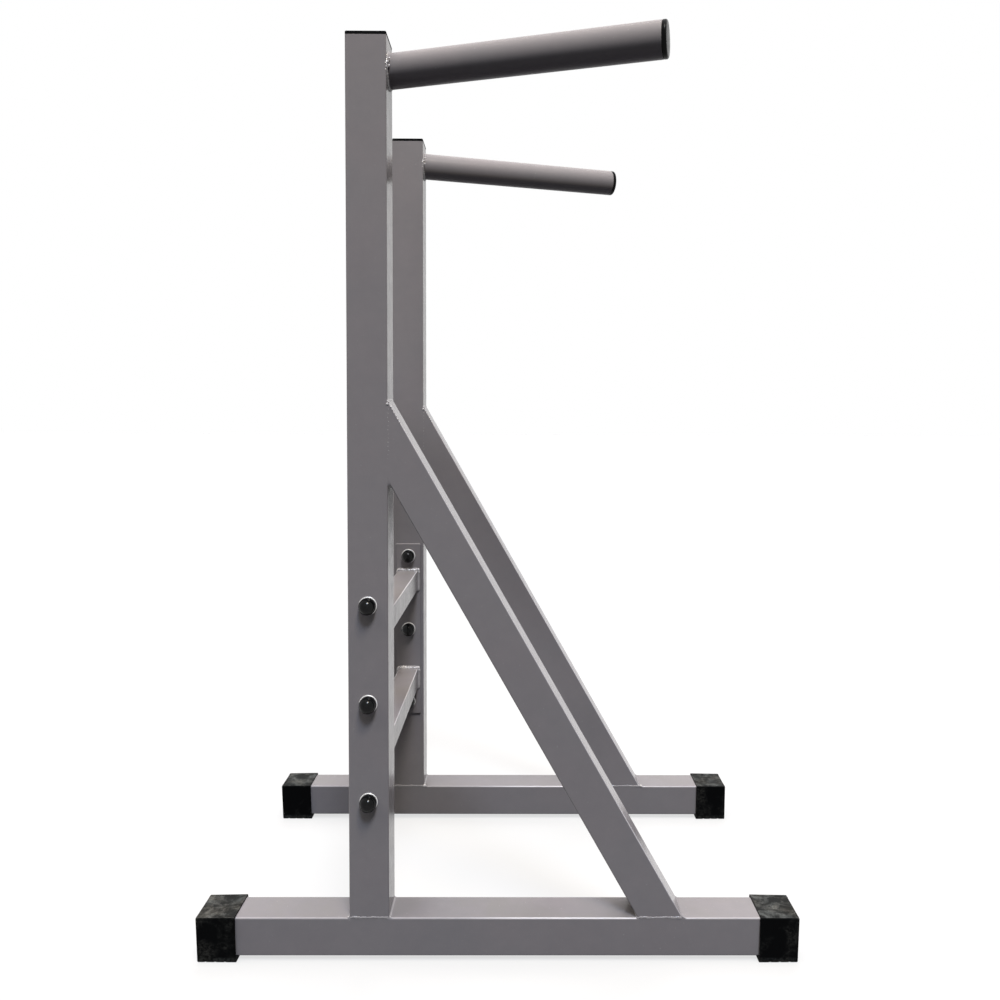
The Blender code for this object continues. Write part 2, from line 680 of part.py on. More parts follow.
def bolt_set(side, number, height):
    """One bolt through the upright and the plate, with its washers, nut and two dome caps."""
    place = f"{SIDE_NAMES[side]}_{number + 1}"
    outer_face = INNER_FACE_Y + TUBE_SIDE
    outer_washer = outer_face + SEAT_GAP
    head_seat = outer_washer + WASHER_THICKNESS + SEAT_GAP
    inner_washer = PLATE_Y - PLATE_THICKNESS / 2 - SEAT_GAP
    nut_seat = inner_washer - WASHER_THICKNESS - SEAT_GAP
    place_on_bolt(washer(f"outer_washer_{place}"), side, height, outer_washer, 1)
    place_on_bolt(hex_bolt(f"bolt_{place}", head_seat - nut_seat), side, height, head_seat, 1)
    place_on_bolt(dome_cap(f"outer_cap_{place}"), side, height, head_seat, 1)
    place_on_bolt(washer(f"inner_washer_{place}"), side, height, inner_washer, -1)
    place_on_bolt(hex_nut(f"nut_{place}"), side, height, nut_seat, -1)
    place_on_bolt(dome_cap(f"inner_cap_{place}"), side, height, nut_seat, -1)


def build():
    for side in (RIGHT, LEFT):
        rail_space = rail_block(side)
        upright_space = upright_block(side)
        base_rail(side)
        upright(side, rail_space)
        brace(side, rail_space, upright_space)
        arm(side, upright_space)
        top_plug(side)
        arm_plug(side)
        boot(side, -1)
        boot(side, 1)
        flange_plate(side)
        for number, height in enumerate(bolt_heights()):
            bolt_set(side, number, height)
    for level, height in crossbar_heights().items():
        crossbar(level, height)


build()
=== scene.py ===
"""Dip station, dressed: fine meshes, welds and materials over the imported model, and the photo's view."""

import json
import math

import bmesh
import bpy
from mathutils import Matrix, Vector

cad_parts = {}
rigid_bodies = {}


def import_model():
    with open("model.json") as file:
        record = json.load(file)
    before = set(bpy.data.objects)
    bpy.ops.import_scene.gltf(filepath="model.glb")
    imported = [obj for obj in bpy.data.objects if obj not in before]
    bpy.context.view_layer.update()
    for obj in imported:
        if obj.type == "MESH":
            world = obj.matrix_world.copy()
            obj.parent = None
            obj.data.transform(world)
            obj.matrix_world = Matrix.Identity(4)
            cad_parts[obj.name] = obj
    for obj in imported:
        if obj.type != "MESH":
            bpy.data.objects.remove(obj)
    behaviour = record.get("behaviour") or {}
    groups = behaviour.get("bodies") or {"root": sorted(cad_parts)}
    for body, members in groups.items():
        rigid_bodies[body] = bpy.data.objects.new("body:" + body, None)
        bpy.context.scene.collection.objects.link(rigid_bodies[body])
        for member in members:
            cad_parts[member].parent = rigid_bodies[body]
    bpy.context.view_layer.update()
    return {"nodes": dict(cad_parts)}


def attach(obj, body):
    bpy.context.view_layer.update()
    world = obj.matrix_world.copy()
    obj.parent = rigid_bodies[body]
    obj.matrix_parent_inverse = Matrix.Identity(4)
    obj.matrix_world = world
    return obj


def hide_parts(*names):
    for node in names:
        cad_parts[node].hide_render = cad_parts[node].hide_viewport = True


for obj in list(bpy.data.objects):
    bpy.data.objects.remove(obj)
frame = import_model()

# Sizes in metres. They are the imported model's, apart from the small faults that the photo shows: the
# uprights' faces, the rails' corners, the braces' reach, the boots' drag and the bolts' lifts.
SEAT_GAP = 0.0003
TUBE = 0.060
CORNER = 0.002
RAIL_CORNER = 0.0026
FRAME_Y = 0.239
RAIL_HALF = 0.4575
RAIL_MIDDLE = 0.038
RAIL_TOP = 0.068
UPRIGHT_X = -0.198
FRONT_FACE = -0.1671
REAR_FACE = {"right": -0.2280, "left": -0.2291}
UPRIGHT_TOP = 1.396
BRACE_REACH = 0.4506
BRACE_ANGLE = math.radians(29.6)
ARM_RADIUS = 0.02525
ARM_LENGTH = 0.4095
ARM_HEIGHT = 1.3535
ARM_SPLAY = math.radians(16.2)
CROSSBAR = 0.040
CROSSBAR_CORNER = 0.0018
CROSSBAR_HEIGHTS = {"upper_crossbar": 0.503, "lower_crossbar": 0.299}
PLATE_FACE = 0.2047
PLATE_WIDTH = 0.050
PLATE_LENGTH = 0.354
PLATE_CORNER = 0.0022
LADDER_HEIGHT = 0.401
BOLT_HEIGHTS = (0.251, 0.401, 0.551)
BOLT_SHIFT = 0.0005
BOLT_LIFTS = {"right": (-0.0012, -0.0002, 0.0), "left": (-0.0012, -0.0002, 0.0018)}
WASHER_HEIGHT = 0.0025
BOOT_LENGTH = 0.060
BOOT_WIDTH = 0.069
BOOT_HEIGHT = 0.0700
BOOT_END_WALL = 0.0051
BOOT_DRAG = {
    ("front", "right"): 0.0018,
    ("rear", "right"): 0.0022,
    ("front", "left"): 0.0008,
    ("rear", "left"): 0.0026,
}
SIDES = {"right": -1, "left": 1}

FORWARD = Vector((1, 0, 0))
ACROSS = Vector((0, 1, 0))
UP = Vector((0, 0, 1))

# Points nearer to each other than this are joined
MERGE_REACH = 0.0000005
BEAD_SIDES = 14


# Materials


class Nodes:
    """A short way to write a material's node tree."""

    def __init__(self, name):
        self.material = bpy.data.materials.new(name)
        self.material.use_nodes = True
        self.tree = self.material.node_tree
        self.shader = self.tree.nodes["Principled BSDF"]

    def add(self, kind, **settings):
        node = self.tree.nodes.new(kind)
        for key, value in settings.items():
            if key in node.inputs:
                self.feed(node.inputs[key], value)
            else:
                setattr(node, key, value)
        return node

    def feed(self, socket, value):
        if isinstance(value, bpy.types.NodeSocket):
            self.tree.links.new(value, socket)
        else:
            socket.default_value = value

    def place(self):
        """The object's own coordinates, in metres."""
        return self.add("ShaderNodeTexCoord").outputs["Object"]

    def noise(self, scale, detail=2.0, roughness=0.5, vector=None, distortion=0.0):
        node = self.add("ShaderNodeTexNoise")
        node.inputs["Scale"].default_value = scale
        node.inputs["Detail"].default_value = detail
        node.inputs["Roughness"].default_value = roughness
        node.inputs["Distortion"].default_value = distortion
        self.feed(node.inputs["Vector"], vector or self.place())
        return node.outputs["Fac"]

    def spread(self, value, low, high, to_low=0.0, to_high=1.0, smooth=False):
        """Maps a range of a value to another range, and holds it there."""
        node = self.add("ShaderNodeMapRange", clamp=True)
        node.interpolation_type = "SMOOTHSTEP" if smooth else "LINEAR"
        self.feed(node.inputs["Value"], value)
        limits = (low, high, to_low, to_high)
        for key, number in zip(("From Min", "From Max", "To Min", "To Max"), limits):
            node.inputs[key].default_value = number
        return node.outputs["Result"]

    def math(self, operation, a, b):
        node = self.add("ShaderNodeMath", operation=operation)
        self.feed(node.inputs[0], a)
        self.feed(node.inputs[1], b)
        return node.outputs[0]

    def blend(self, share, a, b):
        """Colour a where share is 0 and colour b where it is 1."""
        node = self.add("ShaderNodeMix", data_type="RGBA")
        self.feed(node.inputs["Factor"], share)
        for socket, colour in ((node.inputs[6], a), (node.inputs[7], b)):
            self.feed(socket, (*colour, 1.0) if isinstance(colour, tuple) else colour)
        return node.outputs[2]

    def bump(self, height, strength, distance, under=None):
        node = self.add("ShaderNodeBump")
        node.inputs["Strength"].default_value = strength
        node.inputs["Distance"].default_value = distance
        self.feed(node.inputs["Height"], height)
        if under:
            self.feed(node.inputs["Normal"], under)
        return node.outputs["Normal"]

    def facing_up(self):
        geometry = self.add("ShaderNodeNewGeometry")
        parts = self.add("ShaderNodeSeparateXYZ")
        self.feed(parts.inputs[0], geometry.outputs["Normal"])
        return parts.outputs["Z"]

    def set(self, **values):
        for key, value in values.items():
            self.feed(self.shader.inputs[key.replace("_", " ")], value)


def powder_coat(name, gloss=0.22, dull=0.0, rounds="", pale=0.0):
    """Grey powder coat, with its fine orange peel, faint clouding and a little dust in the paint.

    rounds says which round corners get a painted highlight, a pale grey where they face up: those of a
    tube that lies across Y ("side"), those of one that lies along Y ("top"), or none. pale blends the
    whole coat toward a pale grey, for lighter copies of it that paint in light.
    """
    n = Nodes(name)
    cloud = n.noise(3.1, 3.0, 0.55)
    mottle = n.noise(46.0, 4.0, 0.62)
    tint = n.noise(9.0, 2.0, 0.5)
    top_patches = n.noise(14.0, 4.0, 0.6, distortion=0.5)
    colour = n.blend(n.spread(cloud, 0.3, 0.7), (0.142, 0.135, 0.143), (0.158, 0.149, 0.155))
    colour = n.blend(n.spread(tint, 0.35, 0.65, 0.0, 0.5), colour, (0.158, 0.143, 0.150))
    colour = n.blend(n.spread(mottle, 0.28, 0.78, 0.0, 0.35), colour, (0.120, 0.116, 0.122))
    # Up-facing faces take warmer grey patches: settled dust, and also a painted reflection that tints the
    # tops pinkish.
    dust_and_reflection = n.math("MULTIPLY", n.spread(n.facing_up(), 0.80, 0.99), n.spread(top_patches, 0.42, 0.66, 0.0, 0.55))
    colour = n.blend(dust_and_reflection, colour, (0.140, 0.134, 0.130))
    specks = n.spread(n.noise(230.0, 2.0, 0.5), 0.70, 0.78)
    colour = n.blend(n.math("MULTIPLY", specks, 0.30), colour, (0.30, 0.295, 0.30))
    # Painted highlight: round corners that face up are blended toward a pale grey, standing in for a lamp's
    # shine along them.
    if rounds:
        geometry = n.add("ShaderNodeNewGeometry")
        parts = n.add("ShaderNodeSeparateXYZ", Vector=geometry.outputs["Normal"])
        lit = n.spread(parts.outputs["Z"], 0.08, 0.35)
        if rounds == "side":
            across = n.math("ABSOLUTE", parts.outputs["Y"], 0.0)
            turned = n.math("MULTIPLY", n.spread(across, 0.10, 0.30), n.spread(across, 0.995, 0.96))
            # On the rails the painted highlight is full near x = 0.11 and above the rail's top, and fades to
            # 40% away from there.
            place = n.add("ShaderNodeSeparateXYZ", Vector=n.place())
            along = n.math("ABSOLUTE", n.math("SUBTRACT", place.outputs["X"], 0.11), 0.0)
            above_rail = n.spread(place.outputs["Z"], 0.085, 0.095)
            highlight_along_rail = n.math("MAXIMUM", n.spread(along, 0.08, 0.17, 1.0, 0.40), above_rail)
            turned = n.math("MULTIPLY", turned, highlight_along_rail)
        else:
            both = n.math("MULTIPLY", parts.outputs["X"], parts.outputs["Z"])
            turned = n.spread(both, 0.10, 0.25)
        share = n.math("MULTIPLY", turned, lit)
        colour = n.blend(share, colour, (0.35, 0.34, 0.355))
    # pale lifts the whole coat toward a pale grey: a lighter copy of the coat that paints in light.
    if pale:
        colour = n.blend(pale, colour, (0.42, 0.405, 0.41))
    peel = n.noise(560.0, 2.0, 0.5)
    waves = n.noise(75.0, 2.0, 0.5)
    normal = n.bump(waves, 0.12, 0.0006)
    normal = n.bump(peel, 0.14, 0.00025, normal)
    n.set(Base_Color=colour, Normal=n.bump(specks, 0.20, 0.0003, normal))
    n.set(Roughness=n.spread(mottle, 0.3, 0.7, 0.17 + dull, 0.25 + dull))
    n.shader.inputs["Specular IOR Level"].default_value = gloss
    return n.material


def boot_rubber():
    """Matt black rubber with a pebbled skin, scuffed and dusty where it faces up."""
    n = Nodes("boot_rubber")
    place = n.add("ShaderNodeMapping", Vector=n.place())
    place.inputs["Scale"].default_value = (0.8, 1.0, 1.0)
    big = n.noise(46.0, 5.0, 0.72, place.outputs[0], distortion=0.5)
    smear = n.noise(240.0, 6.0, 0.78, place.outputs[0], distortion=0.7)
    rubbed = n.noise(23.0, 3.0, 0.6, distortion=0.4)
    patch = n.math("MULTIPLY", n.spread(big, 0.44, 0.66), n.spread(smear, 0.36, 0.66, 0.20, 1.0))
    fleck = n.spread(smear, 0.62, 0.72, 0.0, 0.40)
    patch = n.math("ADD", n.math("MULTIPLY", patch, 0.80), n.math("MULTIPLY", fleck, n.spread(big, 0.3, 0.5)))
    up = n.spread(n.facing_up(), 0.90, 0.998, smooth=True)
    top_dust = n.math("MULTIPLY", up, n.math("ADD", patch, 0.09))
    side_dust = n.math("MULTIPLY", n.spread(smear, 0.44, 0.66), n.spread(rubbed, 0.45, 0.62, 0.0, 0.24))
    height = n.add("ShaderNodeSeparateXYZ", Vector=n.place()).outputs["Z"]
    under = n.spread(height, 0.0064, 0.0088, 1.0, 0.0)
    low_line = n.math("MULTIPLY", n.spread(height, 0.0020, 0.0036), under)
    low_dust = n.math("MULTIPLY", low_line, n.spread(smear, 0.42, 0.62, 0.0, 0.26))
    side_dust = n.math("MAXIMUM", side_dust, low_dust)
    dust = n.math("MAXIMUM", top_dust, side_dust)
    grey = n.blend(n.spread(rubbed, 0.4, 0.6), (0.100, 0.106, 0.104), (0.112, 0.110, 0.100))
    n.set(Base_Color=n.blend(dust, (0.0010, 0.0011, 0.0013), grey))
    n.set(Roughness=n.spread(dust, 0.0, 0.6, 0.48, 0.90))
    normal = n.bump(n.noise(420.0, 3.0, 0.6), 0.30, 0.0004)
    n.set(Normal=n.bump(big, 0.25, 0.0010, normal))
    n.shader.inputs["Specular IOR Level"].default_value = 0.02
    return n.material


def black_plastic(name, roughness, scuff, gloss):
    """Moulded black plastic, with faint scuffs that change its gloss."""
    n = Nodes(name)
    rub = n.noise(140.0, 4.0, 0.6, distortion=0.6)
    scuffed = n.spread(rub, 0.50, 0.78)
    n.set(Base_Color=n.blend(scuffed, (0.0012, 0.0013, 0.0016), (0.0048, 0.0050, 0.0055)))
    n.set(Roughness=n.spread(rub, 0.35, 0.75, roughness, roughness + scuff))
    n.set(Normal=n.bump(n.noise(500.0, 2.0, 0.5), 0.06, 0.0002))
    n.shader.inputs["Specular IOR Level"].default_value = gloss
    return n.material


def zinc_plate():
    """Zinc plate, a little cloudy and dulled, with the rolled steel's fine grain."""
    n = Nodes("zinc_plate")
    cloud = n.noise(160.0, 3.0, 0.6)
    n.set(Base_Color=n.blend(n.spread(cloud, 0.3, 0.7), (0.56, 0.555, 0.55), (0.68, 0.675, 0.67)))
    n.set(Roughness=n.spread(cloud, 0.3, 0.7, 0.30, 0.44), Normal=n.bump(n.noise(900.0), 0.08, 0.0002))
    n.shader.inputs["Metallic"].default_value = 0.45
    return n.material


# Frame paint with a painted highlight on its upward round corners; the crossbars' copy has it on their
# front-top corners.
PAINT = powder_coat("powder_coat", rounds="side")
BAR_PAINT = powder_coat("powder_coat_bars", 0.14, rounds="top")
# The arms wear a lighter copy of the coat: painted light that lifts their shading.
ARM_PAINT = powder_coat("powder_coat_arms", 0.07, 0.12, pale=0.08)
# The welds wear a paler, glossier copy of the coat: painted highlight along the beads.
WELD_PAINT = powder_coat("powder_coat_welds", 0.80, 0.02, pale=0.19)
# Near-white copy of the coat: painted glints on weld drops and on bead tops.
GLINT_PAINT = powder_coat("powder_coat_painted_glints", 0.90, 0.0, pale=0.80)
RUBBER = boot_rubber()
CAP_PLASTIC = black_plastic("cap_plastic", 0.10, 0.08, 0.15)
PLUG_PLASTIC = black_plastic("plug_plastic", 0.20, 0.14, 0.07)
LID_PLASTIC = black_plastic("lid_plastic", 0.55, 0.20, 0.03)
ZINC = zinc_plate()

# What a piece wears when it has no finish of its own
SLOTS = {
    "frame_paint": PAINT,
    "boot_rubber": RUBBER,
    "cap_plastic": CAP_PLASTIC,
    "plug_plastic": PLUG_PLASTIC,
    "zinc_plate": ZINC,
}


# Mesh helpers


def loft(rings, closed=False):
    """Points and faces of a skin over rings of points. closed joins the last ring to the first."""
    count = len(rings[0])
    points = [tuple(point) for ring in rings for point in ring]
    faces = []
    last = len(rings) if closed else len(rings) - 1
    for row in range(last):
        here = row * count
        there = (row + 1) % len(rings) * count
        for column in range(count):
            beside = (column + 1) % count
            faces.append((here + column, here + beside, there + beside, there + column))
    if not closed:
        faces.append(tuple(reversed(range(count))))
        faces.append(tuple(range((len(rings) - 1) * count, len(rings) * count)))
    return points, faces


def heal(mesh):
    """Joins points that share a place and turns all faces outward."""
    bm = bmesh.new()
    bm.from_mesh(mesh)
    bmesh.ops.remove_doubles(bm, verts=bm.verts, dist=MERGE_REACH)
    bmesh.ops.recalc_face_normals(bm, faces=bm.faces)
    bm.to_mesh(mesh)
    bm.free()


def piece(name, skins, slot, stands_for=(), sharp=40.0, finish=None, welds=(), bright=()):
    """An object made of one or more closed skins, in place, riding on the stand.

    welds and bright are further skins: the welds in their paler paint, and the bright ones in a near-white
    paint that paints glints.
    """
    points = []
    faces = []
    finishes = []
    for number, group in enumerate((skins, welds, bright)):
        for skin_points, skin_faces in group:
            finishes += [number] * len(skin_faces)
            start = len(points)
            points += skin_points
            faces += [tuple(start + corner for corner in face) for face in skin_faces]
    mesh = bpy.data.meshes.new(name)
    mesh.from_pydata(points, [], faces)
    mesh.materials.append(finish or SLOTS[slot])
    if welds or bright:
        mesh.materials.append(WELD_PAINT)
        mesh.materials.append(GLINT_PAINT)
        for face, number in zip(mesh.polygons, finishes):
            face.material_index = number
    heal(mesh)
    mesh.shade_smooth()
    mesh.set_sharp_from_angle(angle=math.radians(sharp))
    obj = bpy.data.objects.new(name, mesh)
    bpy.context.scene.collection.objects.link(obj)
    normals = obj.modifiers.new("normals", "WEIGHTED_NORMAL")
    normals.keep_sharp = True
    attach(obj, "root")
    if stands_for:
        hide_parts(*stands_for)
    return obj


def rounded_rectangle(width, height, corner, steps=6):
    """Outline as (across, up) pairs, the same number of them whatever its size."""
    points = []
    for quarter, (along, up) in enumerate(((1, 1), (-1, 1), (-1, -1), (1, -1))):
        for step in range(steps + 1):
            angle = (quarter + step / steps) * math.pi / 2
            x = along * (width / 2 - corner) + corner * math.cos(angle)
            y = up * (height / 2 - corner) + corner * math.sin(angle)
            points.append((x, y))
    return points


def circle(radius, steps):
    turns = [2 * math.pi * step / steps for step in range(steps)]
    return [(radius * math.cos(turn), radius * math.sin(turn)) for turn in turns]


def lathe(profile, steps, place):
    """A solid turned from (radius, height) pairs that start and end on the axis."""
    points = []
    faces = []
    rows = []
    for radius, height in profile:
        if radius == 0.0:
            rows.append([len(points)] * steps)
            points.append(tuple(place @ Vector((0.0, 0.0, height))))
            continue
        rows.append(list(range(len(points), len(points) + steps)))
        for x, y in circle(radius, steps):
            points.append(tuple(place @ Vector((x, y, height))))
    for low, high in zip(rows, rows[1:]):
        for column in range(steps):
            beside = (column + 1) % steps
            corners = [low[column], low[beside], high[beside], high[column]]
            faces.append(tuple(dict.fromkeys(corners)))
    return points, faces


def corner_drop(across, half, corner=CORNER):
    """How far a square tube's surface lies below its flat, at a distance across it."""
    past = max(abs(across) - (half - corner), 0.0)
    return corner - math.sqrt(max(corner**2 - past**2, 0.0))


def rail_surface(across):
    return RAIL_TOP - corner_drop(across, TUBE / 2, RAIL_CORNER)


def front_surface(across):
    return FRONT_FACE - corner_drop(across, TUBE / 2)


def prism(outline, origin, across, up, along, start, end, rows):
    """A bar along a direction, whose ends follow start and end, functions of its outline's points."""
    rings = []
    for row in range(rows):
        share = row / (rows - 1)
        ring = []
        for a, b in outline:
            foot = origin + across * a + up * b
            ring.append(foot + along * (start(foot, b) * (1 - share) + end(foot, b) * share))
        rings.append(ring)
    return loft(rings)


# Welds


def hum(value, seed):
    """A smooth unevenness between -1 and 1 along a weld."""
    waves = ((0.61, 1.7), (1.37, 2.9), (2.83, 0.8))
    return sum(math.sin(value * rate + seed * turn) for rate, turn in waves) / len(waves)


def walk(points, closed, step):
    """Places at even steps along a path of (point, outward) pairs, with the distance to each."""
    loop = points + points[:1] if closed else points
    lengths = [(b[0] - a[0]).length for a, b in zip(loop, loop[1:])]
    total = sum(lengths)
    count = max(round(total / step), 4)
    places = []
    leg = 0
    passed = 0.0
    for number in range(count if closed else count + 1):
        wanted = number * total / count
        while leg < len(lengths) - 1 and passed + lengths[leg] < wanted:
            passed += lengths[leg]
            leg += 1
        share = min(max((wanted - passed) / lengths[leg], 0.0), 1.0)
        point, outward = (a.lerp(b, share) for a, b in zip(loop[leg], loop[leg + 1]))
        places.append((point, outward, wanted))
    return places, total


def bead(points, closed, half_width, height, pitch=0.0036, depth=0.22, uneven=0.10, seed=1.0):
    """The skin of a weld bead with its row of overlapping scales."""
    places, total = walk(points, closed, pitch / 6)
    scales = max(round(total / pitch), 1)
    rings = []
    for number, (place, outward, distance) in enumerate(places):
        before = places[number - 1][0] if number or closed else place
        after = places[(number + 1) % len(places)][0] if number + 1 < len(places) or closed else place
        tangent = (after - before).normalized()
        out = (outward - tangent * outward.dot(tangent)).normalized()
        side = tangent.cross(out)
        size = 1 + uneven * hum(distance / pitch * 0.9, seed)
        if not closed:
            edge = min(distance, total - distance) / half_width
            size *= math.sqrt(max(1 - (1 - min(edge, 1.0)) ** 2, 0.0016))
        ring = []
        for step in range(BEAD_SIDES):
            angle = 2 * math.pi * step / BEAD_SIDES
            lag = 0.45 * math.cos(angle) ** 2
            phase = distance / total * scales - lag
            part = phase - math.floor(phase)
            swell = size * (1 - depth * (1 - 4 * part * (1 - part)) ** 1.6)
            sideways = side * (half_width * swell * math.cos(angle))
            ring.append(place + sideways + out * (height * swell * math.sin(angle)))
        rings.append(ring)
    return loft(rings, closed)


def drops(y, spots):
    """Skins of small flat drops of weld on a face that looks along -Y, at (x, z, radius) spots."""
    flatness = 0.7
    skins = []
    for x, z, radius in spots:
        high = radius * flatness
        profile = [(0.0, -high)]
        for step in range(1, 8):
            turn = math.pi * step / 8
            profile.append((radius * math.sin(turn), -high * math.cos(turn)))
        profile.append((0.0, high))
        place = Matrix.Translation((x, y, z)) @ Matrix.Rotation(math.pi / 2, 4, "X")
        skins.append(lathe(profile, 14, place))
    return skins


def across_joint(place_at, normal_a, normal_b):
    """The path of a bead across a square tube, from one round corner over the flat to the other.

    place_at gives the joint's line in the tube's flat, and the path drops with both round corners.
    """
    reach = TUBE / 2 - 0.0002
    sharing = normal_a.dot(normal_b)
    inward = -(normal_a + normal_b) / (1 + sharing)
    outward = (normal_a + normal_b).normalized()
    path = []
    for step in range(25):
        across = reach * (step / 12 - 1)
        path.append((place_at(across) + inward * corner_drop(across, TUBE / 2), outward))
    return path


def fillet(place_at, normal_a, along_a, normal_b, along_b, leg, swell, seed, hollow=0.40):
    """The skin of a smooth hollow weld in the corner of two faces, across a square tube.

    swell is what its legs grow by at the end that faces -Y, where the weld wraps round.
    """
    reach = TUBE / 2 - 0.0001
    sharing = normal_a.dot(normal_b)
    inward = -(normal_a + normal_b) / (1 + sharing)
    rings = []
    for step in range(61):
        across = reach * (step / 30 - 1)
        corner = place_at(across) + inward * corner_drop(across, TUBE / 2)
        size = leg * (1 + 0.14 * hum(step * 0.55, seed) + 0.05 * hum(step * 1.9, seed + 2.0))
        wrap = min(max((-across - 0.014) / 0.0155, 0.0), 1.0)
        size += swell * wrap * wrap * (3 - 2 * wrap)
        ring = [corner + inward * 0.002]
        ring.append(corner + along_a * size * 1.04 - normal_a * 0.0004)
        for number in range(9):
            share = number / 8
            pull = hollow * 4 * share * (1 - share)
            edge = corner + along_a * size * (1 - share) + along_b * size * share
            ring.append(edge.lerp(corner, pull * 0.5) + (normal_a + normal_b) * 0.0002)
        ring.append(corner + along_b * size * 1.04 - normal_b * 0.0004)
        rings.append(ring)
    return loft(rings)


# Pieces of the side frames


def base_rail(side_name, side):
    skin = prism(
        rounded_rectangle(TUBE, TUBE, RAIL_CORNER),
        Vector((0.0, side * FRAME_Y, RAIL_MIDDLE)),
        ACROSS,
        UP,
        FORWARD,
        lambda foot, b: -RAIL_HALF,
        lambda foot, b: RAIL_HALF,
        8,
    )
    piece(f"rail_{side_name}", [skin], "frame_paint", [f"base_rail_{side_name}"])


def upright(side_name, side):
    y = side * FRAME_Y
    rear = REAR_FACE[side_name]
    post = prism(
        rounded_rectangle(FRONT_FACE - rear, TUBE, CORNER),
        Vector(((FRONT_FACE + rear) / 2, y, 0.0)),
        FORWARD,
        ACROSS,
        UP,
        lambda foot, b: rail_surface(b),
        lambda foot, b: UPRIGHT_TOP,
        12,
    )
    welds = []
    for turn, x in ((1, FRONT_FACE), (-1, rear)):
        out = FORWARD * turn
        place = lambda across, x=x: Vector((x, y + across, RAIL_TOP))
        welds.append(fillet(place, UP, out, out, UP, 0.0022, 0.0004, 3.0 + turn + side))
    for face in (-1, 1):
        welds.append(side_seam(y, face, rear + 0.001, FRONT_FACE - 0.001, 5.0 + face))
    # Near-white drops at the post's foot: painted glints on the weld.
    size = 0.0034 if side > 0 else 0.0013
    spots = [(x, RAIL_TOP + 0.0006, size) for x in (FRONT_FACE + 0.0018, rear - 0.0018)]
    foot = drops(y - TUBE / 2 + 0.0006, spots)
    piece(f"post_{side_name}", [post], "frame_paint", [f"upright_{side_name}"], welds=welds, bright=foot)


def side_seam(y, face, x_from, x_to, seed):
    """The flush weld along the side of the rail, where another tube stands on it."""
    out = ACROSS * face
    path = []
    for step in range(41):
        x = x_from + (x_to - x_from) * step / 40
        z = RAIL_TOP + 0.0006 + 0.0007 * hum(step * 0.45, seed)
        path.append((Vector((x, y + face * (TUBE / 2 - 0.0001), z)), out))
    return bead(path, False, 0.0018, 0.0007, 0.0050, 0.35, 0.30, seed)


def brace(side_name, side):
    y = side * FRAME_Y
    lean = math.sin(BRACE_ANGLE)
    rise = math.cos(BRACE_ANGLE)
    toe_x = FRONT_FACE + BRACE_REACH
    along = Vector((-lean, 0, rise))
    outer = Vector((rise, 0, lean))
    axis = Vector((toe_x, y, RAIL_TOP)) - outer * TUBE / 2
    foot_end = lambda foot, b: (rail_surface(b) - foot.z) / along.z
    top_end = lambda foot, b: (front_surface(b) - foot.x) / along.x
    outline = rounded_rectangle(TUBE, TUBE, CORNER)
    strut = prism(outline, axis, outer, ACROSS, along, foot_end, top_end, 10)
    top_z = RAIL_TOP + BRACE_REACH / math.tan(BRACE_ANGLE)
    throat_z = top_z - TUBE / lean
    heel_x = toe_x - TUBE / rise
    toe = lambda across: Vector((toe_x, y + across, RAIL_TOP))
    heel = lambda across: Vector((heel_x, y + across, RAIL_TOP))
    top = lambda across: Vector((FRONT_FACE, y + across, top_z))
    throat = lambda across: Vector((FRONT_FACE, y + across, throat_z))
    toe_weld = fillet(toe, UP, FORWARD, outer, along, 0.0020, 0.0028, 2.0 + side, hollow=0.55)
    throat_weld = fillet(throat, FORWARD, -UP, -outer, -along, 0.0088, 0.0, 8.0 + side)
    welds = [bead(across_joint(heel, UP, -outer), False, 0.0034, 0.0030, seed=4.0 + side)]
    welds.append(bead(across_joint(top, FORWARD, outer), False, 0.0018, 0.0007, seed=6.0 + side))
    # Near-white drops along the brace's top and at its toe: painted glints on weld spatter.
    spots = [(FRONT_FACE - 0.0001, top_z - 0.0062, 0.0021), (FRONT_FACE + 0.0021, top_z - 0.0030, 0.0013)]
    for number in range(6):
        down = 0.0105 + 0.0046 * number
        x = FRONT_FACE + down * math.tan(BRACE_ANGLE) - 0.0009
        spots.append((x, top_z - down, 0.0011 + 0.0003 * hum(number * 2.3, 1.0)))
    for number in range(13):
        x = FRONT_FACE + 0.0010 + 0.0010 * hum(number * 3.1, 2.0 + side)
        spots.append((x, top_z - 0.014 - 0.0062 * number, 0.0005 + 0.0002 * hum(number * 1.7, 4.0 + side)))
    spots.append((toe_x + 0.0036, RAIL_TOP + 0.0006, 0.0027 if side > 0 else 0.0008))
    bright = drops(y - TUBE / 2 + 0.0001, spots)
    for face in (-1, 1):
        welds.append(side_seam(y, face, heel_x + 0.001, toe_x - 0.001, 9.0 + face))
    skins = [strut, throat_weld, toe_weld]
    piece(f"strut_{side_name}", skins, "frame_paint", [f"brace_{side_name}"], welds=welds, bright=bright)


